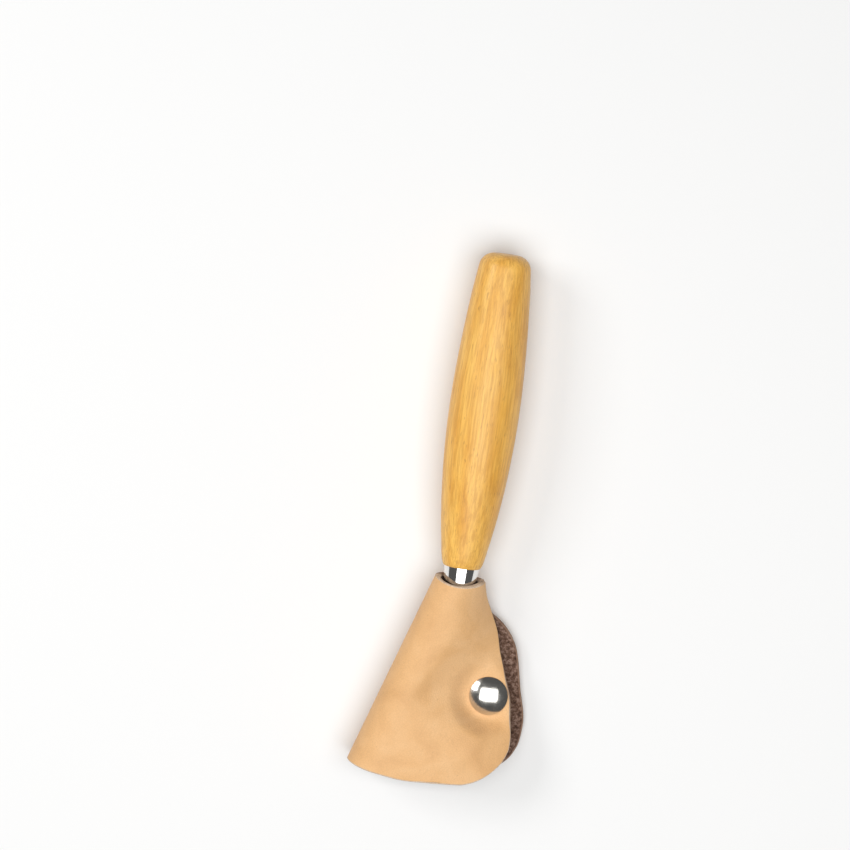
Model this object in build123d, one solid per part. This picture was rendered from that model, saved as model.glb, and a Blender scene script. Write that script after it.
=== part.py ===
"""Left-hand hook knife, buttoned into its folded leather sheath and lying on a table.

X is to the right, Y runs along the handle towards the butt, and Z is up.
While the pieces are drawn, the handle's axis is the Y axis and Y = 0 is the front end of the wood.
At the end everything is moved so that the origin is at the bottom centre of the whole object.
The hook lies in a level plane and curls to the right. Its cutting edge is the upper edge.
"""

from build123d import *
import math
import os

# Handle, turned from birch
HANDLE_LEN = 100.6
HANDLE_R = 11.2
BUTT_CORNER_R = 4.0
END_FLAT_R = 5.75
TENON_LEN = 9.7
BORE_R = 3.3
BORE_DEPTH = 52.0

# Ferrule, a drawn conical steel cup
FERRULE_LEN = 10.5
FERRULE_R = 5.7
FERRULE_TIP_R = 4.7
FERRULE_WALL = 0.7
FERRULE_EDGE_R = 0.4

# Blade, one strip of steel bent into a hook on its flat side
BLADE_T = 2.0
ROOT_W = 9.2
EDGE_STEP = 0.7
BLADE_W = ROOT_W - EDGE_STEP
TIP_W = 7.0
BEVEL_H = 3.8
EDGE_LAND = 0.15
NECK_STRAIGHT = 4.0
NECK_BEND_R = 25.0
NECK_BEND_DEG = 29.0
SHANK_LEN = 18.9
HOOK_R = 13.6
HOOK_DEG = 190.0
RICASSO_LEN = 6.0
TANG_LEN = 46.0
TANG_W = 6.0
TANG_END_W = 4.4

# Sheath, one piece of leather folded on the left
LEATHER_T = 2.0
MOUTH_S = 3.4
FOOT_S = 70.0
MOUTH_R = 7.8
FOLD_SLANT_DEG = 16.0
SEAM_END_S = 14.0
SEAM_END_X = 11.6
SEAM_GAP = 0.3
FLAP_GAP = 0.3

# Snap fastener
SNAP_X = 14.5
SNAP_S = 40.5
CAP_R = 6.2
CAP_H = 2.4
SOCKET_R = 5.4
SOCKET_H = 3.2
SOCKET_HOLE_R = 3.2
SOCKET_ROOF = 0.8
STUD_FLANGE_R = 5.2
STUD_FLANGE_H = 0.9
STUD_R = 2.85
STUD_NECK_R = 2.3
STUD_H = 2.2
POST_FLANGE_R = 5.0
POST_FLANGE_H = 0.8
RIVET_R = 1.5
SPRING_WIRE_R = 0.3

QUARTER_HANDLE = 4.0 / 3.0 * (math.sqrt(2.0) - 1.0)


# ---------------------------------------------------------------- knife


def handle():
    """Barrel-shaped handle with a tenon under the ferrule and a bore for the tang."""
    tenon_r = FERRULE_R - FERRULE_WALL
    tenon_tip_r = FERRULE_TIP_R - FERRULE_WALL
    butt_r = HANDLE_R * 0.735
    with BuildPart() as part:
        with BuildSketch(Plane.XY):
            with BuildLine():
                Polyline((0, HANDLE_LEN), (0, -TENON_LEN), (tenon_tip_r, -TENON_LEN),
                         (tenon_r, 0), (END_FLAT_R, 0))
                shoulder = Bezier((END_FLAT_R, 0), (6.2, 0), (6.75, 1.8), (7.15, 4.2))
                barrel = Spline(
                    shoulder @ 1,
                    (HANDLE_R * 0.80, 16.0),
                    (HANDLE_R * 0.935, 31.0),
                    (HANDLE_R, 50.0),
                    (HANDLE_R * 0.94, 71.0),
                    (HANDLE_R * 0.84, 86.0),
                    (butt_r, HANDLE_LEN - BUTT_CORNER_R),
                    tangents=(shoulder % 1, (-0.14, 1.0)),
                )
                corner = TangentArc(
                    barrel @ 1, (butt_r - BUTT_CORNER_R, HANDLE_LEN), tangent=barrel % 1
                )
                Line(corner @ 1, (0, HANDLE_LEN))
            make_face()
        revolve(axis=Axis.Y)
        with Locations((0, (BORE_DEPTH - TENON_LEN) / 2, 0)):
            Cylinder(BORE_R, BORE_DEPTH + TENON_LEN, rotation=(90, 0, 0), mode=Mode.SUBTRACT)
    return part.part


def ferrule():
    """Tapered cup over the tenon, with a slot in its front wall for the tang."""
    tip_inner_r = FERRULE_TIP_R - FERRULE_WALL
    with BuildPart() as part:
        with BuildSketch(Plane.XY):
            with BuildLine():
                Polyline(
                    (0, -TENON_LEN),
                    (0, -FERRULE_LEN),
                    (FERRULE_TIP_R - FERRULE_EDGE_R, -FERRULE_LEN),
                )
                RadiusArc(
                    (FERRULE_TIP_R - FERRULE_EDGE_R, -FERRULE_LEN),
                    (FERRULE_TIP_R, -FERRULE_LEN + FERRULE_EDGE_R),
                    -FERRULE_EDGE_R,
                )
                Polyline(
                    (FERRULE_TIP_R, -FERRULE_LEN + FERRULE_EDGE_R),
                    (FERRULE_R, 0),
                    (FERRULE_R - FERRULE_WALL, 0),
                    (tip_inner_r, -TENON_LEN),
                    (0, -TENON_LEN),
                )
            make_face()
        revolve(axis=Axis.Y)
        with Locations((0, -FERRULE_LEN, 0)):
            Box(BLADE_T, 4.0, TANG_W, mode=Mode.SUBTRACT)
    return part.part


def tang_outline():
    """Tang seen from the side: a long taper from the blade's shoulders into the handle."""
    tang_end = TANG_LEN - FERRULE_LEN
    with BuildSketch(Plane.YZ) as sketch:
        with BuildLine():
            Polyline(
                (-FERRULE_LEN, TANG_W / 2),
                (0, TANG_W / 2),
                (tang_end - 2.0, TANG_END_W / 2),
                (tang_end, 0),
                (tang_end - 2.0, -TANG_END_W / 2),
                (0, -TANG_W / 2),
                (-FERRULE_LEN, -TANG_W / 2),
                close=True,
            )
        make_face()
    return sketch.sketch


def tang():
    return extrude(tang_outline(), BLADE_T / 2, both=True)


def tang_bedding():
    """Cured glue that fills the bore around the tang."""
    with BuildPart() as part:
        with Locations((0, (BORE_DEPTH - TENON_LEN) / 2, 0)):
            Cylinder(BORE_R, BORE_DEPTH + TENON_LEN, rotation=(90, 0, 0))
        add(tang(), mode=Mode.SUBTRACT)
    return part.part


def hook_frame(length):
    """Point and heading, in degrees, at a length along the strip's centre line from the ferrule.

    The line is straight, bends left, runs straight, then curls round to the right.
    """
    x, y, heading = 0.0, -FERRULE_LEN, -90.0
    pieces = [
        (NECK_STRAIGHT, 0.0),
        (math.radians(NECK_BEND_DEG) * NECK_BEND_R, -NECK_BEND_DEG),
        (SHANK_LEN, 0.0),
        (math.radians(HOOK_DEG) * HOOK_R, HOOK_DEG),
    ]
    for piece_length, turn in pieces:
        part_length = min(length, piece_length)
        share = part_length / piece_length
        half_turn = math.radians(turn * share / 2)
        straight = abs(half_turn) < 1e-9
        chord = part_length if straight else part_length * math.sin(half_turn) / half_turn
        chord_angle = math.radians(heading) + half_turn
        x += chord * math.cos(chord_angle)
        y += chord * math.sin(chord_angle)
        heading += turn * share
        length -= part_length
    return x, y, heading


def blade_length():
    bend = math.radians(NECK_BEND_DEG) * NECK_BEND_R
    return NECK_STRAIGHT + bend + SHANK_LEN + math.radians(HOOK_DEG) * HOOK_R


def blade_plane(length):
    """Section plane across the strip: its X points to the hook's outer side, its Y is up."""
    x, y, heading = hook_frame(length)
    along = Vector(math.cos(math.radians(heading)), math.sin(math.radians(heading)), 0)
    outward = Vector(along.Y, -along.X, 0)
    return Plane(origin=(x, y, 0), x_dir=outward, z_dir=outward.cross(Vector(0, 0, 1)))


def blade_section(length, full):
    """Strip section with the long bevel that is ground on the outer side of the hook."""
    share = (length - RICASSO_LEN) / (full - RICASSO_LEN)
    back = -ROOT_W / 2 + share * (ROOT_W - TIP_W) / 2
    edge = ROOT_W / 2 - EDGE_STEP - share * (BLADE_W - EDGE_STEP - TIP_W) / 2
    half = BLADE_T / 2
    with BuildSketch(blade_plane(length)) as sketch:
        with BuildLine():
            Polyline(
                (-half, back),
                (half, back),
                (half, edge - BEVEL_H),
                (-half + EDGE_LAND, edge),
                (-half, edge),
                close=True,
            )
        make_face()
    return sketch.sketch


def blade():
    """Hook blade and tang in one piece of steel."""
    full = blade_length()
    bend_end = NECK_STRAIGHT + math.radians(NECK_BEND_DEG) * NECK_BEND_R
    shank_end = bend_end + SHANK_LEN
    stations = [RICASSO_LEN, 10.0, 13.5, bend_end, bend_end + SHANK_LEN / 2, shank_end]
    hook_steps = 10
    stations += [shank_end + (full - shank_end) * i / hook_steps for i in range(1, hook_steps + 1)]
    strip = loft([blade_section(length, full) for length in stations])

    ricasso_stations = [0.0, NECK_STRAIGHT, RICASSO_LEN]
    sections = []
    for length in ricasso_stations:
        with BuildSketch(blade_plane(length)) as sketch:
            Rectangle(BLADE_T, ROOT_W)
        sections.append(sketch.sketch)
    ricasso = loft(sections, ruled=True)

    x, y, heading = hook_frame(full)
    tip_r = TIP_W / 2
    tip_block = Box(10, tip_r, TIP_W + 4, align=(Align.CENTER, Align.MAX, Align.CENTER))
    tip_round = Cylinder(tip_r, 12, rotation=(0, 90, 0))
    tip_cutter = tip_block - tip_round.moved(Location((0, -tip_r, 0)))
    tip_cutter = tip_cutter.moved(Location((x, y, 0), (0, 0, heading - 90)))
    return strip + ricasso + tang() - tip_cutter


# ---------------------------------------------------------------- sheath


def down_sheath(s):
    """Share of the way from the mouth of the sheath to its foot."""
    return (s - MOUTH_S) / (FOOT_S - MOUTH_S)


def fold_x(s):
    return -(s - MOUTH_S) * math.tan(math.radians(FOLD_SLANT_DEG))


def fold_r(s):
    """Outer radius of the fold: it opens out so that the back comes down to the table."""
    return MOUTH_R + down_sheath(s) * (HANDLE_R - MOUTH_R) / 2


def fold_z(s):
    return MOUTH_R - fold_r(s)


def back_top_z(s):
    """Height of the upper, rough side of the back leaf."""
    return fold_z(s) - fold_r(s) + LEATHER_T


def across(s):
    """Plane across the sheath at s below the wood, with local X to the right and local Y up."""
    return Plane(origin=(0, -s, 0), x_dir=(1, 0, 0), z_dir=(0, -1, 0))


def arc_point(s, inset, degrees):
    """Point on the fold's outer or inner circle, in the plane across the sheath."""
    radius = fold_r(s) - inset
    angle = math.radians(degrees)
    return (fold_x(s) + radius * math.cos(angle), fold_z(s) + radius * math.sin(angle))


def flap_section(s, edge_x, edge_z, edge_drop_deg, top_handle, edge_handle):
    """Section of the flap: the upper left quarter of the fold, then over the blade to the free edge."""
    drop = math.radians(edge_drop_deg)
    along = (math.cos(drop), -math.sin(drop))
    up = (math.sin(drop), math.cos(drop))
    spread = QUARTER_HANDLE * LEATHER_T * edge_drop_deg / 90.0
    inner_top = arc_point(s, LEATHER_T, 90)
    outer_top = arc_point(s, 0, 90)
    inner_edge = (edge_x - LEATHER_T * up[0], edge_z)
    outer_edge = (inner_edge[0] + LEATHER_T * up[0], inner_edge[1] + LEATHER_T * up[1])
    with BuildSketch(across(s)) as sketch:
        with BuildLine():
            ThreePointArc(arc_point(s, 0, 180), arc_point(s, 0, 135), outer_top)
            Bezier(
                outer_top,
                (outer_top[0] + top_handle + spread, outer_top[1]),
                (
                    outer_edge[0] - along[0] * (edge_handle + spread),
                    outer_edge[1] - along[1] * (edge_handle + spread),
                ),
                outer_edge,
            )
            Line(outer_edge, inner_edge)
            Bezier(
                inner_edge,
                (inner_edge[0] - along[0] * edge_handle, inner_edge[1] - along[1] * edge_handle),
                (inner_top[0] + top_handle, inner_top[1]),
                inner_top,
            )
            ThreePointArc(inner_top, arc_point(s, LEATHER_T, 135), arc_point(s, LEATHER_T, 180))
            Line(arc_point(s, LEATHER_T, 180), arc_point(s, 0, 180))
        make_face()
    return sketch.sketch


def flap_stations():
    """Each station: s, free edge's X, its underside's Z, its drop in degrees, and two curve handles."""
    mouth_in = (MOUTH_R - LEATHER_T) * QUARTER_HANDLE
    snap_z = back_top_z(SNAP_S) + STUD_FLANGE_H + SOCKET_H
    return [
        (MOUTH_S - 1.0, MOUTH_R, SEAM_GAP + 0.7, 90.0, mouth_in, mouth_in),
        (9.0, 9.6, back_top_z(9.0) + 3.4, 74.0, 4.5, 4.5),
        (SEAM_END_S, SEAM_END_X + 0.3, back_top_z(SEAM_END_S) + FLAP_GAP, 56.0, 6.5, 6.0),
        (20.0, 14.8, back_top_z(20.0) + FLAP_GAP, 42.0, 9.0, 8.0),
        (26.5, 16.9, back_top_z(26.5) + 0.8, 26.0, 8.0, 12.0),
        (SNAP_S - 6.0, 20.4, snap_z - 1.0, 4.0, 5.0, 18.0),
        (SNAP_S, 22.3, snap_z - 0.9, 0.0, 4.0, 20.0),
        (SNAP_S + 6.0, 23.2, snap_z - 0.6, 0.0, 5.0, 20.0),
        (53.5, 23.8, -0.2, 30.0, 23.0, 8.0),
        (60.0, 23.4, 0.6, 30.0, 24.0, 8.0),
        (FOOT_S + 1.0, 22.4, 0.6, 28.0, 24.0, 8.0),
    ]


def prism(outline):
    """Tall solid over a flat outline, used to trim the leather to shape."""
    return extrude(outline, 30, both=True)


def foot_curve(right_x, right_s):
    """Lower edge of the leather, from its right end round to the fold."""
    left = (fold_x(FOOT_S) - fold_r(FOOT_S) - 2.0, -(FOOT_S - 3.5))
    return ThreePointArc((right_x, -right_s), (-2.0, -FOOT_S), left)


def flap_outline():
    """Plan of the flap: scooped mouth, rounded lower right corner and curved foot."""
    with BuildSketch() as sketch:
        with BuildLine():
            left = (fold_x(FOOT_S) - fold_r(FOOT_S) - 2.0, -MOUTH_S)
            mouth = ThreePointArc((-MOUTH_R, -MOUTH_S), (0, -MOUTH_S - 2.0), (MOUTH_R, -MOUTH_S))
            side = Line(mouth @ 1, (26.0, -MOUTH_S))
            flank = Line(side @ 1, (26.0, -52.0))
            foot = foot_curve(11.0, FOOT_S - 1.2)
            Spline(flank @ 1, (21.0, -63.0), foot @ 0, tangents=((-0.05, -1), foot % 0))
            Line(foot @ 1, left)
            Line(left, mouth @ 0)
        make_face()
    return sketch.sketch


def snap_seat(radius, low, high):
    """Cylinder that presses the leather flat under a part of the snap."""
    return Cylinder(
        radius, high - low, align=(Align.CENTER, Align.CENTER, Align.MIN)
    ).moved(Location((SNAP_X, -SNAP_S, low)))


def sheath_flap():
    """Front half of the leather: it hinges along the fold and buttons to the back leaf."""
    shell = loft([flap_section(*station) for station in flap_stations()], ruled=True)
    flap = shell & prism(flap_outline())
    flap += snap_seat(CAP_R + 0.6, snap_flap_z(), snap_flap_z() + LEATHER_T)
    flap -= snap_seat(SOCKET_R + 0.1, snap_flap_z() - 6, snap_flap_z())
    flap -= snap_seat(CAP_R + 0.1, snap_flap_z() + LEATHER_T, snap_flap_z() + 8)
    flap -= snap_seat(RIVET_R, snap_flap_z() - 1, snap_flap_z() + 5)
    return flap


def leaf_section(s, right):
    """Section of the back leaf: the lower left quarter of the fold, then flat to the right."""
    with BuildSketch(across(s)) as sketch:
        with BuildLine():
            outer = ThreePointArc(
                arc_point(s, 0, 180), arc_point(s, 0, 225), arc_point(s, 0, 270)
            )
            low = outer @ 1
            Polyline(low, (right, low.Y), (right, low.Y + LEATHER_T), arc_point(s, LEATHER_T, 270))
            inner = ThreePointArc(
                arc_point(s, LEATHER_T, 270),
                arc_point(s, LEATHER_T, 225),
                arc_point(s, LEATHER_T, 180),
            )
            Line(inner @ 1, outer @ 0)
        make_face()
    return sketch.sketch


def leaf_outline():
    """Plan of the back leaf: the rounded lobe shows past the flap on the right."""
    with BuildSketch() as sketch:
        with BuildLine():
            left = (fold_x(FOOT_S) - fold_r(FOOT_S) - 2.0, -MOUTH_S)
            Polyline(left, (0, -MOUTH_S), (0, -SEAM_END_S), (SEAM_END_X, -SEAM_END_S))
            shoulder = ThreePointArc((SEAM_END_X, -SEAM_END_S), (17.4, -18.3), (22.2, -27.2))
            flank = TangentArc(shoulder @ 1, (27.2, -49.5), tangent=shoulder % 1)
            foot = foot_curve(11.0, FOOT_S - 1.2)
            Spline(flank @ 1, (23.4, -62.5), foot @ 0, tangents=(flank % 1, foot % 0))
            Line(foot @ 1, left)
        make_face()
    return sketch.sketch


def curl_section(s, seam, rise_deg, base_handle, seam_handle):
    """Section of the neck's right side, which curls up from the back leaf to the seam."""
    rise = math.radians(rise_deg)
    along = (math.cos(rise), math.sin(rise))
    inward = (-math.sin(rise), math.cos(rise))
    spread = QUARTER_HANDLE * LEATHER_T * rise_deg / 90.0
    base_z = fold_z(s) - fold_r(s)
    inner_seam = (seam[0] + LEATHER_T * inward[0], seam[1] + LEATHER_T * inward[1])
    with BuildSketch(across(s)) as sketch:
        with BuildLine():
            Bezier(
                (0, base_z),
                (base_handle + spread, base_z),
                (
                    seam[0] - along[0] * (seam_handle + spread),
                    seam[1] - along[1] * (seam_handle + spread),
                ),
                seam,
            )
            Line(seam, inner_seam)
            Bezier(
                inner_seam,
                (inner_seam[0] - along[0] * seam_handle, inner_seam[1] - along[1] * seam_handle),
                (base_handle, base_z + LEATHER_T),
                (0, base_z + LEATHER_T),
            )
            Line((0, base_z + LEATHER_T), (0, base_z))
        make_face()
    return sketch.sketch


def sheath_back():
    """Back half of the leather: it lies under the blade and cradles the ferrule at the mouth."""
    leaf = loft([leaf_section(MOUTH_S, 30.0), leaf_section(FOOT_S + 1.0, 30.0)], ruled=True)
    leaf &= prism(leaf_outline())
    mouth_in = (MOUTH_R - LEATHER_T) * QUARTER_HANDLE
    end_z = fold_z(SEAM_END_S) - fold_r(SEAM_END_S)
    curl = loft(
        [
            curl_section(MOUTH_S, (MOUTH_R, 0), 90.0, mouth_in, mouth_in),
            curl_section(SEAM_END_S, (SEAM_END_X, end_z), 0.0, 4.0, 4.0),
        ],
        ruled=True,
    )
    back = leaf + curl
    back -= snap_seat(STUD_FLANGE_R + 0.1, snap_back_z() + LEATHER_T, snap_back_z() + 8)
    back -= snap_seat(POST_FLANGE_R + 0.1, snap_back_z() - 6, snap_back_z())
    back -= snap_seat(RIVET_R, snap_back_z() - 2, snap_back_z() + 5)
    return back


# ---------------------------------------------------------------- snap fastener


def snap_back_z():
    """Level of the back leaf's underside where the snap goes through."""
    return fold_z(SNAP_S) - fold_r(SNAP_S)


def snap_flap_z():
    """Level of the flap's underside where the snap goes through."""
    return snap_back_z() + LEATHER_T + STUD_FLANGE_H + SOCKET_H


def turned(points):
    """Solid turned about the snap's upright axis from a profile of radius and height."""
    with BuildPart() as part:
        with BuildSketch(Plane.XZ):
            with BuildLine():
                Polyline(*points, close=True)
            make_face()
        revolve(axis=Axis.Z)
    return part.part


def at_snap(solid, z):
    return solid.moved(Location((SNAP_X, -SNAP_S, z)))


def snap_cap():
    """Domed cap on top of the flap, with the rivet that goes down through the leather."""
    with BuildPart() as part:
        with BuildSketch(Plane.XZ):
            with BuildLine():
                base = Polyline(
                    (0, -LEATHER_T), (RIVET_R, -LEATHER_T), (RIVET_R, 0), (CAP_R - 0.4, 0), (CAP_R, 0.4)
                )
                TangentArc((0, CAP_H), base @ 1, tangent=(1, 0))
                Line((0, CAP_H), base @ 0)
            make_face()
        revolve(axis=Axis.Z)
    return at_snap(part.part, snap_flap_z() + LEATHER_T)


def snap_socket():
    """Socket under the flap, open downwards, with a groove that holds the spring."""
    inner = SOCKET_HOLE_R
    groove = inner + 2 * SPRING_WIRE_R
    roof = SOCKET_H - SOCKET_ROOF
    ring = turned(
        [
            (0, SOCKET_H),
            (0, roof),
            (inner, roof),
            (inner, 1.5),
            (groove, 1.5),
            (groove, 0.9),
            (inner, 0.9),
            (inner, 0.3),
            (inner + 0.3, 0),
            (SOCKET_R - 0.8, 0),
            (SOCKET_R - 0.5, 0.4),
            (SOCKET_R - 0.5, roof),
            (SOCKET_R, SOCKET_H - 0.4),
            (SOCKET_R, SOCKET_H),
        ]
    )
    return at_snap(ring, snap_flap_z() - SOCKET_H)


def snap_spring():
    """Split ring of spring wire in the socket's groove."""
    ring = Torus(SOCKET_HOLE_R + SPRING_WIRE_R, SPRING_WIRE_R)
    ring -= Box(3, 1.2, 3).moved(Location((SOCKET_HOLE_R, 0, 0)))
    return at_snap(ring, snap_flap_z() - SOCKET_H + 1.2)


def snap_stud():
    """Stud on the back leaf: a flange and a waisted nipple that clicks into the socket."""
    flange = STUD_FLANGE_H - 0.1
    stud = turned(
        [
            (RIVET_R, 0),
            (STUD_FLANGE_R, 0),
            (STUD_FLANGE_R, flange - 0.4),
            (STUD_FLANGE_R - 0.5, flange),
            (STUD_NECK_R, flange),
            (STUD_NECK_R, flange + 0.5),
            (STUD_R, flange + 1.1),
            (STUD_R, flange + STUD_H - 0.6),
            (STUD_NECK_R, flange + STUD_H),
            (RIVET_R, flange + STUD_H),
        ]
    )
    return at_snap(stud, snap_back_z() + LEATHER_T)


def snap_post():
    """Post pushed up through the back leaf and riveted in the stud."""
    post = turned(
        [
            (0, -POST_FLANGE_H),
            (POST_FLANGE_R - 0.4, -POST_FLANGE_H),
            (POST_FLANGE_R, -POST_FLANGE_H + 0.4),
            (POST_FLANGE_R, 0),
            (RIVET_R, 0),
            (RIVET_R, LEATHER_T + STUD_FLANGE_H + STUD_H - 0.3),
            (RIVET_R - 0.4, LEATHER_T + STUD_FLANGE_H + STUD_H - 0.1),
            (0, LEATHER_T + STUD_FLANGE_H + STUD_H - 0.1),
        ]
    )
    return at_snap(post, snap_back_z())


# ---------------------------------------------------------------- assembly

NODES = {
    "handle": handle,
    "ferrule": ferrule,
    "blade": blade,
    "tang_bedding": tang_bedding,
    "sheath_back": sheath_back,
    "sheath_flap": sheath_flap,
    "snap_cap": snap_cap,
    "snap_socket": snap_socket,
    "snap_spring": snap_spring,
    "snap_stud": snap_stud,
    "snap_post": snap_post,
}


def main():
    os.makedirs("parts", exist_ok=True)
    solids = {name: make() for name, make in NODES.items()}
    whole = Compound(children=[Compound(solid.solids()) for solid in solids.values()])
    box = whole.bounding_box()
    to_origin = Location((-(box.min.X + box.max.X) / 2, -(box.min.Y + box.max.Y) / 2, -box.min.Z))
    for name, solid in solids.items():
        placed = Compound(solid.solids()).moved(to_origin)
        placed.label = name
        export_step(placed, os.path.join("parts", name + ".step"))
    print("moved by", [round(v, 3) for v in to_origin.position])


main()
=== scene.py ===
import math

import bmesh
import bpy
import numpy as np
from mathutils import Matrix, Vector

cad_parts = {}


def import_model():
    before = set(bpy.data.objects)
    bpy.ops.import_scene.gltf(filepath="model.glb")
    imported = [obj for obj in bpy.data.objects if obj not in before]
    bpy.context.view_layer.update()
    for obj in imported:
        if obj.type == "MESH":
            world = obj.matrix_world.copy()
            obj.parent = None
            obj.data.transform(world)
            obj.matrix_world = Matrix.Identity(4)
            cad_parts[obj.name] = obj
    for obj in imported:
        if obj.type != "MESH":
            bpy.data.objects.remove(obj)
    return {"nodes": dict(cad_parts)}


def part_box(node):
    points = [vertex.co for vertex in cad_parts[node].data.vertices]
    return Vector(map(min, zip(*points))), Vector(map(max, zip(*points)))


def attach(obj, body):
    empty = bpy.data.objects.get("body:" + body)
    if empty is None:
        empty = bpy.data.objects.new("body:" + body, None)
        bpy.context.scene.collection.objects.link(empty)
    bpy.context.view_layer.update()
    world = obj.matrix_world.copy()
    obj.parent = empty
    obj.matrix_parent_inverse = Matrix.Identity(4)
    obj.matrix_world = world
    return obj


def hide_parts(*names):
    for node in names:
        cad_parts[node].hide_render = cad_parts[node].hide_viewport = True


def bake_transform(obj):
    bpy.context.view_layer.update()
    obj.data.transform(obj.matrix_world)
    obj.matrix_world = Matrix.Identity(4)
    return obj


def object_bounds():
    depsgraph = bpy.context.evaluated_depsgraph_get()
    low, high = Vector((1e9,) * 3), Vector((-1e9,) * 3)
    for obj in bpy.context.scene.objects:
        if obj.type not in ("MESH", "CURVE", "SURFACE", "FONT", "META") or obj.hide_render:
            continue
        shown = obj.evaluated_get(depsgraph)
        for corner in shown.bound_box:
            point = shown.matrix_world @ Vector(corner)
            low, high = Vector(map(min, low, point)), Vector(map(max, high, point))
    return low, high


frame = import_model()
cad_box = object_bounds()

# Lengths here are in millimetres and are turned into metres by MM.
# x is to the right of the handle's axis, s is down from the wood's front end, z is up from the axis.
MM = 0.001

nodes = frame["nodes"]
handle_low, handle_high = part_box("handle")
ferrule_low, ferrule_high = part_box("ferrule")
cap_low, cap_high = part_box("snap_cap")
stud_low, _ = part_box("snap_stud")
_, socket_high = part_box("snap_socket")

AXIS_X = (ferrule_low.x + ferrule_high.x) / 2
AXIS_Z = (ferrule_low.z + ferrule_high.z) / 2
WOOD_Y = ferrule_high.y
BELLY_R = (handle_high.z - handle_low.z) / 2 / MM

# ---------------------------------------------------------------- leather sheath: main sizes as in the CAD

LEATHER_T = 2.0
MOUTH_S = 3.4
FOOT_S = 70.0
MOUTH_R = 7.8
FOLD_SLANT = math.radians(16.0)
SEAM_S = 14.0
SEAM_X = 11.6
SCOOP = 2.0
FOOT_RISE = 3.3
FOOT_MID_X = -2.0
FOOT_HALF_WIDTH = 28.0
QUARTER_HANDLE = 4.0 / 3.0 * (math.sqrt(2.0) - 1.0)

SNAP_X = ((cap_low.x + cap_high.x) / 2 - AXIS_X) / MM
SNAP_S = (WOOD_Y - (cap_low.y + cap_high.y) / 2) / MM
SNAP_FLAP_Z = (socket_high.z - AXIS_Z) / MM
SNAP_LEAF_Z = (stud_low.z - AXIS_Z) / MM
SNAP_FLAT_R = 6.6
SNAP_EASE = 7.0

# The cut edges stand out by RIM, in a rounded profile of (place through the thickness, share of RIM).
RIM = 0.48
RIM_PROFILE = [
    (0.93, 0.42), (0.72, 0.75), (0.40, 0.94), (0.0, 1.0),
    (-0.40, 0.94), (-0.72, 0.75), (-0.93, 0.42),
]

# The grid over the whole sheath. The fold takes FOLD_SHARE of each half of it, and the piece that bends
# takes BENDING_SHARE of the fold.
ROWS = 130
COLUMNS = 116
FOLD_SHARE = 0.26
BENDING_SHARE = 0.45
GRAIN, FLESH, EDGE = 0, 1, 2

# The hook that shows faintly through the flap.
NECK_STRAIGHT = 4.0
NECK_BEND_R = 25.0
NECK_BEND_DEG = 29.0
SHANK_LEN = 18.9
HOOK_R = 13.6
HOOK_DEG = 190.0
IMPRINT_WIDTH = 2.6
IMPRINT_HEIGHT = 0.30


def fold_x(s):
    """x of the fold's axis, which slants to the left downwards."""
    return -(s - MOUTH_S) * math.tan(FOLD_SLANT)


def fold_r(s):
    """Outer radius of the fold, which grows from the mouth to the foot."""
    return MOUTH_R + (s - MOUTH_S) / (FOOT_S - MOUTH_S) * (BELLY_R - MOUTH_R) / 2


def fold_z(s):
    """z of the fold's axis."""
    return MOUTH_R - fold_r(s)


def leaf_top(s):
    """z of the back leaf's upper side, where it lies flat."""
    return fold_z(s) - fold_r(s) + LEATHER_T


def smooth_table(known):
    """Smooth curve with no overshoot through given (s, value) pairs, kept as closely spaced points."""
    xs = np.array([k[0] for k in known], float)
    ys = np.array([k[1] for k in known], float)
    steps = np.diff(ys) / np.diff(xs)
    slopes = np.zeros(len(xs))
    for i in range(1, len(xs) - 1):
        if steps[i - 1] * steps[i] > 0:
            slopes[i] = 2 * steps[i - 1] * steps[i] / (steps[i - 1] + steps[i])
    slopes[0], slopes[-1] = steps[0], steps[-1]
    at = np.linspace(xs[0], xs[-1], 600)
    i = np.clip(np.searchsorted(xs, at, side="right") - 1, 0, len(xs) - 2)
    h = xs[i + 1] - xs[i]
    t = (at - xs[i]) / h
    values = (
        ys[i] * (1 + 2 * t) * (1 - t) ** 2
        + slopes[i] * h * t * (1 - t) ** 2
        + ys[i + 1] * t * t * (3 - 2 * t)
        + slopes[i + 1] * h * t * t * (t - 1)
    )
    return at, values


# Flap sections: s, free edge's x, its underside's z, its drop in degrees, and two curve handles.
# Beside the snap they differ from the CAD flap's, which smooths the free edge.
FLAP_STATIONS = [
    (MOUTH_S - 1.0, MOUTH_R, 0.25, 90.0, 3.2, 3.2),
    (9.0, 9.6, -3.9, 74.0, 4.5, 4.5),
    (SEAM_S, SEAM_X + 0.3, leaf_top(SEAM_S) + 0.25, 56.0, 6.5, 6.0),
    (20.0, 14.8, leaf_top(20.0) + 0.25, 42.0, 9.0, 8.0),
    (26.5, 16.9, leaf_top(26.5) + 0.6, 26.0, 8.0, 12.0),
    (SNAP_S - 6.0, 20.0, SNAP_FLAP_Z - 0.4, 4.0, 5.0, 18.0),
    (SNAP_S, 22.3, SNAP_FLAP_Z - 0.15, 0.0, 4.0, 20.0),
    (SNAP_S + 6.0, 23.2, SNAP_FLAP_Z + 0.7, 6.0, 9.0, 17.0),
    (53.5, 23.8, -1.1, 24.0, 19.0, 10.0),
    (60.0, 23.4, 0.2, 29.0, 23.0, 8.0),
    (FOOT_S + 1.0, 22.4, 0.6, 28.0, 24.0, 8.0),
]
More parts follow.
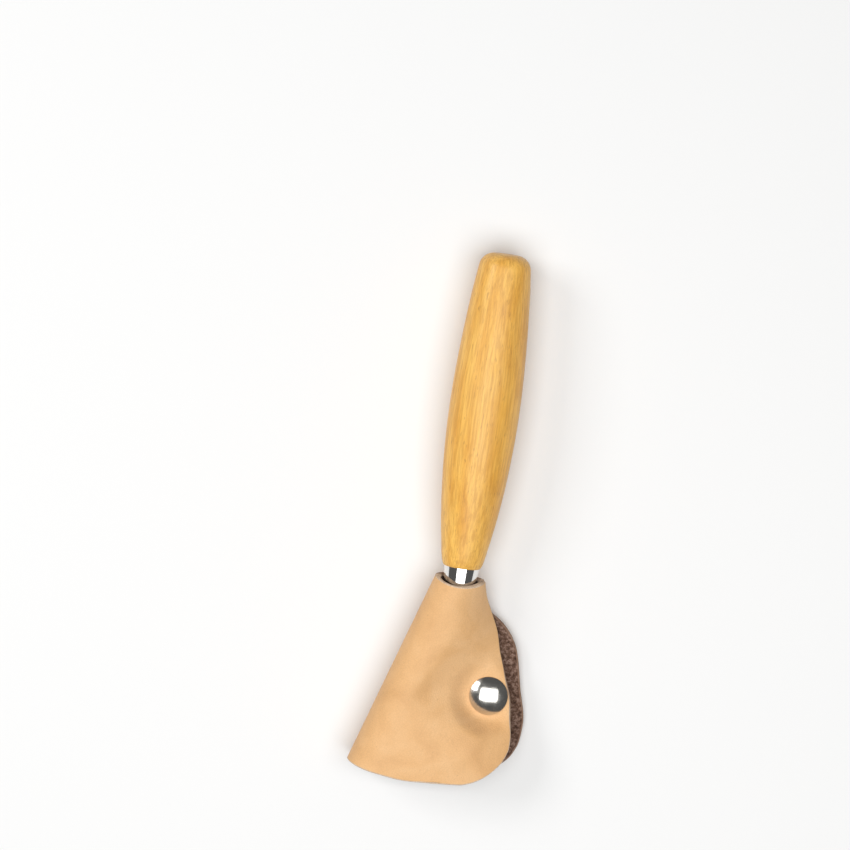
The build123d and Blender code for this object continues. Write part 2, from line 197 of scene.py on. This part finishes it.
# Right edges as (s, x): the flap's rounded lower corner, and the whole back leaf.
FLAP_CORNER = [
    (52.0, 24.0), (56.0, 23.3), (60.0, 21.8), (63.0, 19.6),
    (65.5, 16.9), (67.3, 14.0), (68.8, 9.6), (70.5, -8.0),
]
LEAF_EDGE = [
    (SEAM_S, SEAM_X), (15.0, 12.3), (16.2, 14.2), (18.6, 17.1),
    (21.2, 19.3), (24.2, 21.1), (27.2, 22.2), (38.0, 24.7),
    (49.5, 27.2), (55.0, 26.8), (59.5, 25.2), (63.0, 22.4),
    (65.8, 18.4), (67.6, 14.2), (68.8, 9.6), (70.5, -8.0),
]
# The neck's curled right side as (s, value): its top's height, its x, and how steeply it rises in degrees.
SEAM_Z = [(MOUTH_S, 0.0), (9.0, -4.2), (SEAM_S, fold_z(SEAM_S) - fold_r(SEAM_S))]
SEAM_EDGE_X = [(MOUTH_S, MOUTH_R), (9.0, 9.3), (SEAM_S, SEAM_X)]
SEAM_RISE = [(MOUTH_S, 90.0), (9.0, 52.0), (SEAM_S, 0.0)]

flap_tables = [smooth_table([(row[0], row[i]) for row in FLAP_STATIONS]) for i in range(1, 6)]
corner_table = smooth_table(FLAP_CORNER)
leaf_table = smooth_table(LEAF_EDGE)
seam_z_table = smooth_table(SEAM_Z)
seam_x_table = smooth_table(SEAM_EDGE_X)
seam_rise_table = smooth_table(SEAM_RISE)


def bezier(p0, p1, p2, p3, t):
    """Point and heading on a cubic curve, as arrays of x and z."""
    a, b, c, d = (np.array(p, float) for p in (p0, p1, p2, p3))
    point = a * (1 - t) ** 3 + 3 * b * (1 - t) ** 2 * t + 3 * c * (1 - t) * t * t + d * t**3
    slope = 3 * (b - a) * (1 - t) ** 2 + 6 * (c - b) * (1 - t) * t + 3 * (d - c) * t * t
    return point, slope / np.linalg.norm(slope)


def flap_curve(s, t):
    """Middle of the leather from the fold's top (t = 0) to the flap's free edge (t = 1)."""
    edge_x, edge_z, drop, top_handle, edge_handle = (np.interp(s, *table) for table in flap_tables)
    drop = math.radians(drop)
    along = (math.cos(drop), -math.sin(drop))
    top = (fold_x(s), fold_z(s) + fold_r(s) - LEATHER_T)
    edge = (edge_x - LEATHER_T * math.sin(drop), edge_z)
    point, heading = bezier(
        top,
        (top[0] + top_handle, top[1]),
        (edge[0] - along[0] * edge_handle, edge[1] - along[1] * edge_handle),
        edge,
        t,
    )
    return point + np.array([-heading[1], heading[0]]) * LEATHER_T / 2


def leaf_curve(s, t):
    """Middle of the leather from the fold's bottom (t = 0) to the back leaf's edge (t = 1)."""
    base = fold_z(s) - fold_r(s) + LEATHER_T / 2
    if s >= SEAM_S:
        edge_x = np.interp(s, *leaf_table)
        return np.array([fold_x(s) + (edge_x - fold_x(s)) * t, base])
    rise = math.radians(np.interp(s, *seam_rise_table))
    along = np.array([math.cos(rise), math.sin(rise)])
    inward = np.array([-along[1], along[0]])
    end = np.array([np.interp(s, *seam_x_table), np.interp(s, *seam_z_table)]) + inward * LEATHER_T / 2
    handle = (MOUTH_R - LEATHER_T / 2) * QUARTER_HANDLE
    return bezier((fold_x(s), base), (handle * 0.9, base), end - along * handle, end, t)[0]


def flap_limit(s):
    """Largest t of the flap's curve that keeps inside its right edge and its rounded lower corner."""
    flap_length = 22.0
    whole = 1 - RIM / flap_length
    limit = np.interp(s, *corner_table) - RIM
    if s <= FLAP_CORNER[0][0] or flap_curve(s, 1.0)[0] <= limit:
        return whole
    ts = np.linspace(0, 1, 41)
    xs = [flap_curve(s, t)[0] for t in ts]
    return min(float(np.interp(limit, xs, ts)), whole)


def section(s, b):
    """Middle of the leather at s: b is -1 at the leaf's edge, 0 on the hinge line, 1 at the flap's edge."""
    side = 1.0 if b >= 0 else -1.0
    share = abs(b)
    if share < FOLD_SHARE:
        angle = math.radians(180.0 - side * 90.0 * share / FOLD_SHARE)
        radius = fold_r(s) - LEATHER_T / 2
        return np.array([fold_x(s) + radius * math.cos(angle), fold_z(s) + radius * math.sin(angle)])
    t = (share - FOLD_SHARE) / (1 - FOLD_SHARE)
    if side > 0:
        return flap_curve(s, t * flap_limit(s))
    end = leaf_curve(s, 1.0)[0] - fold_x(s)
    return leaf_curve(s, t * (1 - RIM / end))


def ease(t):
    """Smooth step from 0 at t = 0 to 1 at t = 1."""
    t = min(max(t, 0.0), 1.0)
    return t * t * (3 - 2 * t)


def foot_at(x):
    """s of the leather's curved lower edge at x."""
    return FOOT_S - FOOT_RISE * ((x - FOOT_MID_X) / FOOT_HALF_WIDTH) ** 2


def mouth_at(x, b):
    """s of the leather's upper edge at x: the flap's side of it is scooped."""
    return MOUTH_S + (SCOOP * max(0.0, 1 - (x / MOUTH_R) ** 2) if b > 0 else 0.0)


def hook_line():
    """Points along the strip's centre line, as (x, s)."""
    x, s, heading = 0.0, (WOOD_Y - ferrule_low.y) / MM, -90.0
    runs = [
        (NECK_STRAIGHT, 0.0),
        (math.radians(NECK_BEND_DEG) * NECK_BEND_R, -NECK_BEND_DEG),
        (SHANK_LEN, 0.0),
        (math.radians(HOOK_DEG) * HOOK_R, HOOK_DEG),
    ]
    points = []
    for length, turn in runs:
        steps = int(length)
        for _ in range(steps):
            middle = math.radians(heading + turn / steps / 2)
            x += length / steps * math.cos(middle)
            s -= length / steps * math.sin(middle)
            heading += turn / steps
            points.append((x, s))
    return np.array(points)


hook_points = hook_line()


def imprint(x, s):
    """How strongly the hook under the leather shows at x, s: 1 right over it."""
    gap = np.min(np.hypot(hook_points[:, 0] - x, hook_points[:, 1] - s))
    return math.exp(-((gap / IMPRINT_WIDTH) ** 2))


def ripple(x, s, b):
    """Slow unevenness of hand-cut leather, in mm."""
    broad = 0.10 * math.sin(x * 0.31 + 1.3 * b + 0.4) * math.sin(s * 0.19 + 0.7)
    return broad + 0.06 * math.sin(s * 0.43 + x * 0.17)


def shape_flap(x, s, z, b, flat):
    """Height of the flap's leather: uneven and raised over the hook where it is free, flat at the snap."""
    edge_start = 0.955
    neck_end = 12.0
    flat *= 1 - 0.8 * ease((b - edge_start) / (1 - edge_start))
    free = ease((b - FOLD_SHARE) / 0.2) * ease((s - neck_end) / 10) * (1 - flat)
    over_hook = ease((z - 1.0) / 3.0)
    z += free * (ripple(x, s, b) + IMPRINT_HEIGHT * imprint(x, s) * over_hook)
    return z + (SNAP_FLAP_Z + LEATHER_T / 2 - z) * flat


def leather_grid():
    """Middle surface of the whole sheath: rows run down from the mouth, columns run round the fold."""
    bs = np.linspace(-1, 1, COLUMNS + 1)
    grid = np.zeros((ROWS + 1, COLUMNS + 1, 3))
    for j, b in enumerate(bs):
        start = mouth_at(section(MOUTH_S, b)[0], b) + RIM
        end = foot_at(section(FOOT_S - 2.0, b)[0]) - RIM
        for i in range(ROWS + 1):
            a = i / ROWS
            # Rows lie closer together towards the foot, where the corner is rounded.
            s = start + (end - start) * (a + 0.10 * math.sin(math.pi * a) * a)
            x, z = section(s, b)
            gap = math.hypot(x - SNAP_X, s - SNAP_S)
            flat = 1 - ease((gap - SNAP_FLAT_R) / SNAP_EASE)
            if b > FOLD_SHARE:
                z = shape_flap(x, s, z, b, flat)
            elif b < -FOLD_SHARE:
                z += (SNAP_LEAF_Z - LEATHER_T / 2 - z) * flat
            grid[i, j] = (x, s, z)
    return grid


def grid_normals(grid):
    """Unit normals of the middle surface, pointing to the outer, grain side."""
    down = np.gradient(grid, axis=0)
    across = np.gradient(grid, axis=1)
    normal = np.cross(across, down)
    normal /= np.linalg.norm(normal, axis=2, keepdims=True)
    hinge = normal[ROWS // 2, COLUMNS // 2]
    return normal if hinge[0] < 0 else -normal


def to_frame(points):
    """Points of x, s, z in millimetres, as places in the scene in metres."""
    out = np.empty_like(points)
    out[..., 0] = AXIS_X + points[..., 0] * MM
    out[..., 1] = WOOD_Y - points[..., 1] * MM
    out[..., 2] = AXIS_Z + points[..., 2] * MM
    return out


def unit(v):
    length = np.linalg.norm(v)
    return v / length if length > 1e-12 else v


def leather_piece(name, grid, normal, first, last, materials):
    """Closed piece of leather from columns first to last, with rounded rims on its real edges."""
    g = grid[:, first : last + 1]
    n = normal[:, first : last + 1]
    rows, cols = g.shape[0], g.shape[1]
    real_left, real_right = first == 0, last == COLUMNS
    verts, faces, kinds = [], [], []

    def add_grid(points):
        start = len(verts)
        verts.extend(points.reshape(-1, 3).tolist())
        return lambda i, j: start + i * cols + j

    half = LEATHER_T / 2
    outer = add_grid(g + n * half)
    inner = add_grid(g - n * half)
    for i in range(rows - 1):
        for j in range(cols - 1):
            faces.append((outer(i, j), outer(i + 1, j), outer(i + 1, j + 1), outer(i, j + 1)))
            kinds.append(GRAIN)
            faces.append((inner(i, j), inner(i, j + 1), inner(i + 1, j + 1), inner(i + 1, j)))
            kinds.append(FLESH)

    loop = [(0, j) for j in range(cols)] + [(i, cols - 1) for i in range(1, rows)]
    loop += [(rows - 1, j) for j in range(cols - 2, -1, -1)] + [(i, 0) for i in range(rows - 2, 0, -1)]

    def is_cut(k):
        """Whether the loop's step from k to the next place runs along a cut to the neighbouring piece."""
        j0, j1 = loop[k][1], loop[(k + 1) % len(loop)][1]
        return (j0 == j1 == 0 and not real_left) or (j0 == j1 == cols - 1 and not real_right)

    def outward(k):
        """Direction square to the outline in the leather's surface, or zero inside a cut."""
        before, here, after = loop[k - 1], loop[k], loop[(k + 1) % len(loop)]
        if is_cut(k - 1 if k else len(loop) - 1):
            before = here
        if is_cut(k):
            after = here
        return unit(np.cross(g[after] - g[before], n[here]))

    sign = 1.0 if np.dot(outward(cols // 2), g[0, cols // 2] - g[1, cols // 2]) > 0 else -1.0
    rings = []
    for k, (i, j) in enumerate(loop):
        e = outward(k) * sign * RIM
        ring = [outer(i, j)]
        for up, out in RIM_PROFILE:
            verts.append((g[i, j] + n[i, j] * half * up + e * out).tolist())
            ring.append(len(verts) - 1)
        ring.append(inner(i, j))
        rings.append(ring)

    def cut_face(corners):
        """Face in a cut, with corners of its own, so that it doesn't soften the surface beside it."""
        start = len(verts)
        verts.extend([verts[corner] for corner in corners])
        faces.append(tuple(range(start, len(verts))))
        kinds.append(EDGE)

    for k in range(len(loop)):
        a, b = rings[k], rings[(k + 1) % len(loop)]
        was_cut = is_cut(k - 1 if k else len(loop) - 1)
        if is_cut(k):
            cut_face((a[0], b[0], b[-1], a[-1]))
            if not was_cut:
                cut_face(a[::-1])
            continue
        if was_cut:
            cut_face(a)
        for p in range(len(a) - 1):
            faces.append((a[p], b[p], b[p + 1], a[p + 1]))
            kinds.append(EDGE)

    mesh = bpy.data.meshes.new(name)
    mesh.from_pydata(to_frame(np.array(verts)).tolist(), [], faces)
    for material in materials:
        mesh.materials.append(material)
    mesh.polygons.foreach_set("material_index", kinds)
    mesh.polygons.foreach_set("use_smooth", [True] * len(faces))
    mesh.validate()
    remove_loose(mesh)
    rest = mesh.attributes.new("rest", "FLOAT_VECTOR", "POINT")
    co = np.zeros(len(mesh.vertices) * 3, np.float32)
    mesh.vertices.foreach_get("co", co)
    rest.data.foreach_set("vector", co)
    piece = bpy.data.objects.new(name, mesh)
    bpy.context.scene.collection.objects.link(piece)
    return piece


def remove_loose(mesh):
    """Removes the rim's points along a cut, which no face uses."""
    bm = bmesh.new()
    bm.from_mesh(mesh)
    bmesh.ops.delete(bm, geom=[v for v in bm.verts if not v.link_faces], context="VERTS")
    bm.normal_update()
    bm.to_mesh(mesh)
    bm.free()


# ---------------------------------------------------------------- materials


class Shader:
    """Small helper that adds nodes to a material and links them."""

    def __init__(self, name):
        self.material = bpy.data.materials.new(name)
        self.material.use_nodes = True
        self.tree = self.material.node_tree
        self.bsdf = self.tree.nodes["Principled BSDF"]

    def node(self, kind, **settings):
        n = self.tree.nodes.new(kind)
        for key, value in settings.items():
            setattr(n, key, value)
        return n

    def link(self, a, b):
        self.tree.links.new(a, b)

    def place(self, attribute=None):
        """Where the shader is on the object: its own coordinates, or a stored attribute."""
        if attribute:
            return self.node("ShaderNodeAttribute", attribute_name=attribute).outputs["Vector"]
        return self.node("ShaderNodeTexCoord").outputs["Object"]

    def mapped(self, source, scale, location=(0, 0, 0), rotation=(0, 0, 0)):
        n = self.node("ShaderNodeMapping")
        n.inputs["Scale"].default_value = scale
        n.inputs["Location"].default_value = location
        n.inputs["Rotation"].default_value = rotation
        self.link(source, n.inputs["Vector"])
        return n.outputs["Vector"]

    def noise(self, vector, scale, detail=3.0, rough=0.5, distortion=0.0):
        n = self.node("ShaderNodeTexNoise")
        n.inputs["Scale"].default_value = scale
        n.inputs["Detail"].default_value = detail
        n.inputs["Roughness"].default_value = rough
        n.inputs["Distortion"].default_value = distortion
        self.link(vector, n.inputs["Vector"])
        return n.outputs["Fac"]

    def ramp(self, value, stops):
        n = self.node("ShaderNodeValToRGB")
        elements = n.color_ramp.elements
        while len(elements) < len(stops):
            elements.new(0.5)
        for element, (place, colour) in zip(elements, stops):
            element.position = place
            if not hasattr(colour, "__len__"):
                colour = (colour, colour, colour)
            element.color = (*colour, 1.0)
        self.link(value, n.inputs["Fac"])
        return n.outputs["Color"]

    def mix(self, factor, a, b):
        """Colour a where the factor is 0 and b where it is 1."""
        n = self.node("ShaderNodeMix", data_type="RGBA")
        for index, value in ((0, factor), (6, a), (7, b)):
            if hasattr(value, "is_output"):
                self.link(value, n.inputs[index])
            elif index == 0:
                n.inputs[index].default_value = value
            else:
                n.inputs[index].default_value = (*value, 1.0)
        return n.outputs[2]

    def bump(self, height, distance, strength=1.0, under=None):
        n = self.node("ShaderNodeBump")
        n.inputs["Strength"].default_value = strength
        n.inputs["Distance"].default_value = distance
        self.link(height, n.inputs["Height"])
        if under is not None:
            self.link(under, n.inputs["Normal"])
        return n.outputs["Normal"]

    def finish(self, colour=None, roughness=None, normal=None, **values):
        sockets = self.bsdf.inputs
        for name, value in (("Base Color", colour), ("Roughness", roughness), ("Normal", normal)):
            if value is None:
                continue
            if hasattr(value, "is_output"):
                self.link(value, sockets[name])
            elif name == "Base Color":
                sockets[name].default_value = (*value, 1.0)
            else:
                sockets[name].default_value = value
        for name, value in values.items():
            socket = sockets[name.replace("_", " ")]
            socket.default_value = (*value, 1.0) if hasattr(value, "__len__") else value
        return self.material


def birch():
    """Oiled birch: faint rings, soft cloudy figure, long fibres, fine pores and short dark flecks."""
    m = Shader("birch_oiled")
    at = m.place()
    rings = m.node("ShaderNodeTexWave", wave_type="RINGS", rings_direction="Y", wave_profile="SIN")
    rings.inputs["Scale"].default_value = 64.0
    rings.inputs["Distortion"].default_value = 3.2
    rings.inputs["Detail"].default_value = 3.0
    rings.inputs["Detail Scale"].default_value = 1.1
    rings.inputs["Detail Roughness"].default_value = 0.6
    m.link(m.mapped(at, (1.0, 0.10, 1.0), (0.052, 0.0, 0.034)), rings.inputs["Vector"])
    tones = [(0.0, (0.780, 0.385, 0.060)), (0.45, (0.850, 0.445, 0.075)), (1.0, (0.890, 0.490, 0.095))]
    toned = m.ramp(rings.outputs["Fac"], tones)
    cloud = m.noise(m.mapped(at, (1.0, 0.30, 1.0)), 130.0, 5.0, 0.6, 0.5)
    toned = m.mix(m.ramp(cloud, [(0.40, 0.0), (0.70, 0.65)]), toned, (0.94, 0.585, 0.150))
    toned = m.mix(m.ramp(cloud, [(0.28, 0.45), (0.46, 0.0)]), toned, (0.64, 0.295, 0.045))
    fibres = m.noise(m.mapped(at, (1.0, 0.040, 1.0)), 1700.0, 5.0, 0.66)
    toned = m.mix(m.ramp(fibres, [(0.40, 0.46), (0.58, 0.0)]), toned, (0.50, 0.215, 0.035))
    pores = m.noise(m.mapped(at, (1.0, 0.10, 1.0), (0.4, 0.2, 0.7)), 2600.0, 2.0, 0.5)
    pore_mask = m.ramp(pores, [(0.63, 0.0), (0.74, 0.50)])
    toned = m.mix(pore_mask, toned, (0.33, 0.145, 0.040))
    flecks = m.noise(m.mapped(at, (1.0, 0.30, 1.0), (0.1, 0.9, 0.3)), 900.0, 1.0, 0.4)
    toned = m.mix(m.ramp(flecks, [(0.72, 0.0), (0.78, 0.40)]), toned, (0.36, 0.165, 0.045))
    rough = m.ramp(m.noise(m.mapped(at, (1.0, 0.12, 1.0)), 600.0, 3.0), [(0.3, 0.36), (0.7, 0.52)])
    grain = m.bump(fibres, 0.00007, 0.6)
    normal = m.bump(pore_mask, -0.00004, 0.5, grain)
    return m.finish(toned, rough, normal, Coat_Weight=0.12, Coat_Roughness=0.30, Specular_IOR_Level=0.42)


def polished_metal(name, tint, low, high, line_axis, line_scale, line_depth):
    """Bright metal with faint polishing lines square to line_axis (0 x, 1 y, 2 z), and a little haze."""
    m = Shader(name)
    at = m.place()
    stretch = [0.04, 0.04, 0.04]
    stretch[line_axis] = 1.0
    lines = m.noise(m.mapped(at, stretch), line_scale, 3.0, 0.6)
    haze = m.noise(at, 420.0, 4.0, 0.6)
    rough = m.ramp(haze, [(0.35, low), (0.72, high)])
    normal = m.bump(lines, line_depth, 0.5)
    return m.finish(tint, rough, normal, Metallic=1.0)


def blade_steel():
    """Ground and polished carbon steel: fine lines across the strip's width, and small stains."""
    m = Shader("blade_ground_steel")
    at = m.place()
    lines = m.noise(m.mapped(at, (1.0, 1.0, 0.05)), 5200.0, 3.0, 0.65)
    stains = m.noise(at, 170.0, 5.0, 0.62, 0.6)
    tones = [(0.30, (0.62, 0.63, 0.64)), (0.60, (0.50, 0.51, 0.52)), (0.78, (0.36, 0.35, 0.34))]
    tint = m.ramp(stains, tones)
    rough = m.ramp(lines, [(0.3, 0.16), (0.7, 0.30)])
    normal = m.bump(lines, 0.00002, 0.6)
    return m.finish(tint, rough, normal, Metallic=1.0)


def leather_grain():
    """Smooth vegetable-tanned side: pale tan, clouded, with pores, faint wrinkles and darker marks."""
    m = Shader("leather_grain_side")
    at = m.place("rest")
    cloud = m.noise(at, 60.0, 5.0, 0.58, 0.5)
    tones = [(0.28, (0.690, 0.385, 0.160)), (0.50, (0.785, 0.460, 0.205)), (0.74, (0.850, 0.530, 0.265))]
    base = m.ramp(cloud, tones)
    wrinkle = m.node("ShaderNodeTexVoronoi", feature="DISTANCE_TO_EDGE")
    wrinkle.inputs["Scale"].default_value = 1350.0
    warp = m.noise(at, 420.0, 3.0, 0.6)
    warped = m.node("ShaderNodeVectorMath", operation="MULTIPLY_ADD")
    warped.inputs[1].default_value = (0.0012, 0.0012, 0.0012)
    m.link(warp, warped.inputs[0])
    m.link(at, warped.inputs[2])
    m.link(warped.outputs["Vector"], wrinkle.inputs["Vector"])
    cells = m.ramp(wrinkle.outputs["Distance"], [(0.0, 0.0), (0.22, 1.0)])
    pores = m.noise(at, 2900.0, 2.0, 0.5)
    pore_mask = m.ramp(pores, [(0.68, 0.0), (0.76, 0.6)])
    toned = m.mix(m.ramp(wrinkle.outputs["Distance"], [(0.0, 0.16), (0.12, 0.0)]), base, (0.36, 0.20, 0.09))
    toned = m.mix(pore_mask, toned, (0.33, 0.18, 0.08))
    marks = m.noise(m.mapped(at, (1.0, 0.35, 1.0), (0.3, 0.1, 0.0), (0, 0, 0.6)), 150.0, 6.0, 0.7, 1.2)
    toned = m.mix(m.ramp(marks, [(0.62, 0.0), (0.80, 0.35)]), toned, (0.42, 0.24, 0.11))
    rough = m.ramp(cloud, [(0.3, 0.46), (0.7, 0.60)])
    fine = m.bump(cells, 0.00006, 0.5)
    mid = m.bump(m.noise(at, 240.0, 4.0, 0.6), 0.00025, 0.35, fine)
    normal = m.bump(pore_mask, -0.00005, 0.6, mid)
    return m.finish(toned, rough, normal, Specular_IOR_Level=0.32)


def leather_flesh():
    """Rough flesh side: mottled brown suede with a short fibrous nap."""
    m = Shader("leather_flesh_side")
    at = m.place("rest")
    patches = m.noise(at, 950.0, 6.0, 0.72, 0.3)
    tones = [(0.36, (0.045, 0.022, 0.015)), (0.49, (0.175, 0.095, 0.062)), (0.62, (0.420, 0.280, 0.220))]
    base = m.ramp(patches, tones)
    nap = m.noise(at, 3000.0, 5.0, 0.75)
    toned = m.mix(m.ramp(nap, [(0.36, 0.55), (0.60, 0.0)]), base, (0.085, 0.045, 0.030))
    toned = m.mix(m.ramp(nap, [(0.60, 0.0), (0.76, 0.5)]), toned, (0.55, 0.41, 0.33))
    coarse = m.bump(m.noise(at, 800.0, 4.0, 0.65), 0.0007, 0.9)
    normal = m.bump(nap, 0.00022, 0.9, coarse)
    return m.finish(toned, 0.93, normal, Specular_IOR_Level=0.12, Sheen_Weight=0.08, Sheen_Roughness=0.6)


def leather_edge():
    """Cut edge with its fibres showing: its colour runs by height from pale tan high up, as round the
    mouth, to darker brown low down, as painted light and shade.
    """
    m = Shader("leather_cut_edge")
    at = m.place("rest")
    parts = m.node("ShaderNodeSeparateXYZ")
    m.link(at, parts.inputs[0])
    # Painted light and shade: the edge's colour goes from dark brown at the bottom to pale tan at the top,
    # by height alone.
    height = m.node("ShaderNodeMapRange", clamp=True)
    height.inputs["From Min"].default_value = AXIS_Z - 4.0 * MM
    height.inputs["From Max"].default_value = AXIS_Z + 2.0 * MM
    m.link(parts.outputs["Z"], height.inputs["Value"])
    cloud = m.noise(at, 300.0, 3.0, 0.6)
    low = m.ramp(cloud, [(0.3, (0.20, 0.115, 0.075)), (0.7, (0.37, 0.235, 0.165))])
    high = m.ramp(cloud, [(0.3, (0.70, 0.500, 0.340)), (0.7, (0.92, 0.740, 0.560))])
    base = m.mix(height.outputs["Result"], low, high)
    fibres = m.noise(at, 2600.0, 4.0, 0.7)
    toned = m.mix(m.ramp(fibres, [(0.38, 0.45), (0.60, 0.0)]), base, (0.26, 0.155, 0.095))
    normal = m.bump(fibres, 0.00018, 0.8)
    return m.finish(toned, 0.82, normal, Specular_IOR_Level=0.25)


def glue():
    """Cured glue in the bore, amber and slightly clouded."""
    m = Shader("glue_cured")
    cloud = m.noise(m.place(), 500.0, 3.0)
    tint = m.ramp(cloud, [(0.3, (0.36, 0.26, 0.13)), (0.7, (0.52, 0.40, 0.22))])
    return m.finish(tint, 0.35)


def dress(node, material):
    """Gives a CAD node its material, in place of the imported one."""
    mesh = nodes[node].data
    mesh.materials.clear()
    mesh.materials.append(material)
    for polygon in mesh.polygons:
        polygon.material_index = 0


# ---------------------------------------------------------------- pieces

dress("handle", birch())
ferrule_steel = polished_metal("ferrule_mirror_steel", (0.80, 0.79, 0.77), 0.035, 0.10, 1, 5200.0, 0.000006)
dress("ferrule", ferrule_steel)
dress("blade", blade_steel())
dress("tang_bedding", glue())
nickel = polished_metal("snap_nickel_plate", (0.74, 0.72, 0.67), 0.12, 0.26, 2, 2600.0, 0.00001)
for snap_node in ("snap_cap", "snap_socket", "snap_stud", "snap_post"):
    dress(snap_node, nickel)
spring_brass = polished_metal("spring_bright_brass", (0.78, 0.62, 0.34), 0.18, 0.32, 2, 2600.0, 0.00001)
dress("snap_spring", spring_brass)

leathers = [leather_grain(), leather_flesh(), leather_edge()]
grid = leather_grid()
normals = grid_normals(grid)

fold_columns = int(round(COLUMNS / 2 * FOLD_SHARE * BENDING_SHARE))
middle = COLUMNS // 2
low_cut, high_cut = middle - fold_columns, middle + fold_columns

back_leather = leather_piece("leather_back_leaf", grid, normals, 0, low_cut, leathers)
fold_leather = leather_piece("leather_fold", grid, normals, low_cut, high_cut, leathers)
flap_leather = leather_piece("leather_front_flap", grid, normals, high_cut, COLUMNS, leathers)

# The bend runs from the height of the lower cut to that of the upper one, at the fold's middle.
nearly_half = LEATHER_T / 2 * 0.9 * MM
bend_x, bend_y, _ = (float(v) for v in to_frame(grid[ROWS // 2, middle]))
bend_low = to_frame(grid[:, low_cut])[:, 2].max() + nearly_half
bend_high = to_frame(grid[:, high_cut])[:, 2].min() - nearly_half

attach(back_leather, "sheath")
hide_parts("sheath_back")
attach(flap_leather, "flap")
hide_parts("sheath_flap")
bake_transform(fold_leather)

# ---------------------------------------------------------------- floor, lights, camera


def floor():
    """Plain pale floor under the object."""
    size = 3.0
    z = cad_box[0].z
    corners = [(-size, -size, z), (size, -size, z), (size, size, z), (-size, size, z)]
    mesh = bpy.data.meshes.new("floor")
    mesh.from_pydata(corners, [], [(0, 1, 2, 3)])
    mesh.materials.append(Shader("floor_pale").finish((0.86, 0.86, 0.855), 0.75))
    piece = bpy.data.objects.new("floor", mesh)
    bpy.context.scene.collection.objects.link(piece)


def softbox(name, place, target, size, power):
    """Rectangular light aimed at target, with its first side square to the handle."""
    light = bpy.data.lights.new(name, "AREA")
    light.shape = "RECTANGLE"
    light.size, light.size_y = size
    light.energy = power
    lamp = bpy.data.objects.new(name, light)
    back = (Vector(place) - Vector(target)).normalized()
    side = Vector((0, 1, 0)).cross(back).normalized()
    axes = Matrix((side, back.cross(side), back)).transposed()
    lamp.matrix_world = Matrix.Translation(place) @ axes.to_4x4()
    bpy.context.scene.collection.objects.link(lamp)


def world():
    """Weak even light from all round."""
    w = bpy.data.worlds.new("studio")
    w.use_nodes = True
    w.node_tree.nodes["Background"].inputs["Color"].default_value = (1.0, 1.0, 1.0, 1.0)
    w.node_tree.nodes["Background"].inputs["Strength"].default_value = 0.10
    bpy.context.scene.world = w


def camera():
    """Straight down over the table, a little from the handle's side, with the handle leaning right."""
    lean = math.radians(8.1)
    tip_towards_handle = math.radians(6.0)
    distance = 1.05
    view_width = 0.270
    look_at = Vector((AXIS_X - 18.0 * MM, WOOD_Y + 43.3 * MM, AXIS_Z))
    data = bpy.data.cameras.new("camera")
    data.sensor_width = 36.0
    data.lens = 36.0 * distance / view_width
    cam = bpy.data.objects.new("camera", data)
    image_up = Vector((-math.sin(lean), math.cos(lean), 0))
    upright = Vector((0, 0, 1))
    back = upright * math.cos(tip_towards_handle) + image_up * math.sin(tip_towards_handle)
    back.normalize()
    right = image_up.cross(back).normalized()
    axes = Matrix((right, back.cross(right), back)).transposed()
    cam.matrix_world = Matrix.Translation(look_at + back * distance) @ axes.to_4x4()
    bpy.context.scene.collection.objects.link(cam)
    bpy.context.scene.camera = cam


floor()
world()
softbox("overhead", (0.06, -0.12, 1.15), (0, -0.03, 0), (1.35, 0.95), 15.0)
softbox("key", (-0.95, 0.35, 0.75), (0, 0, 0), (0.45, 0.60), 5.0)
camera()
bpy.context.scene.view_settings.view_transform = "Standard"
